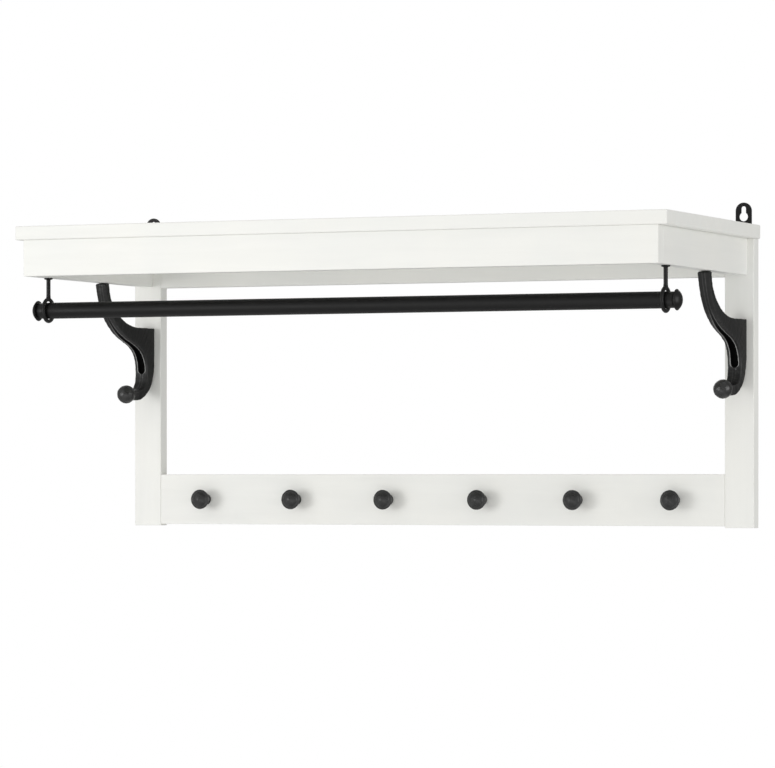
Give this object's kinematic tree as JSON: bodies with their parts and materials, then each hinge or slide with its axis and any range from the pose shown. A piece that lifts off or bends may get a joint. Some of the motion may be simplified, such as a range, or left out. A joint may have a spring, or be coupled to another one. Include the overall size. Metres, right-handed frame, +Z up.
{
  "type": "wall hook rack",
  "caption": "Wall hook rack: shelf box on two stiles with a hanging rail in ring hangers, cast double hooks and a lower rail of turned peg knobs.",
  "frame": {"origin": "on the wall plane, midway between the entry holes of the two keyhole plates", "axes": "+X along the shelf to the right, +Y into the wall, +Z up; the rack stands out of the wall towards -Y"},
  "size_m": [0.852, 0.34, 0.399],
  "materials": {
    "white_paint": "satin white paint on wood",
    "black_cast_metal": "satin black, fine cast texture",
    "black_rail": "smooth satin black",
    "black_fittings": "satin black",
    "black_steel_plate": "satin black",
    "dowel_wood": "bare beech",
    "screw_steel": "zinc plated"
  },
  "bodies": {
    "rack": {"apron_corner_dowels": "dowel_wood", "apron_stile_dowels": "dowel_wood", "back_rail_dowels": "dowel_wood", "back_top_rail": "white_paint", "coat_hook_left": "black_cast_metal", "coat_hook_right": "black_cast_metal", "front_apron": "white_paint", "hook_screws_left": "screw_steel", "hook_screws_right": "screw_steel", "keyhole_plate_left": "black_steel_plate", "keyhole_plate_right": "black_steel_plate", "keyhole_plate_screws_left": "screw_steel", "keyhole_plate_screws_right": "screw_steel", "peg_knob_1": "black_cast_metal", "peg_knob_2": "black_cast_metal", "peg_knob_3": "black_cast_metal", "peg_knob_4": "black_cast_metal", "peg_knob_5": "black_cast_metal", "peg_knob_6": "black_cast_metal", "peg_rail": "white_paint", "peg_rail_dowels": "dowel_wood", "peg_screws": "screw_steel", "ring_hanger_left": "black_fittings", "ring_hanger_right": "black_fittings", "shelf_dowels": "dowel_wood", "side_apron_left": "white_paint", "side_apron_right": "white_paint", "stile_left": "white_paint", "stile_right": "white_paint", "stile_screws": "screw_steel", "top_board": "white_paint"},
    "hanging_rail": {"rail_tube": "black_rail", "finial_left": "black_fittings", "finial_right": "black_fittings"}
  },
  "joints": [
    {"name": "rail_spin", "type": "hinge", "parent": "rack", "child": "hanging_rail", "pos_m": [0, -0.289, -0.1129], "axis": [1, 0, 0], "continuous": true}
  ]
}
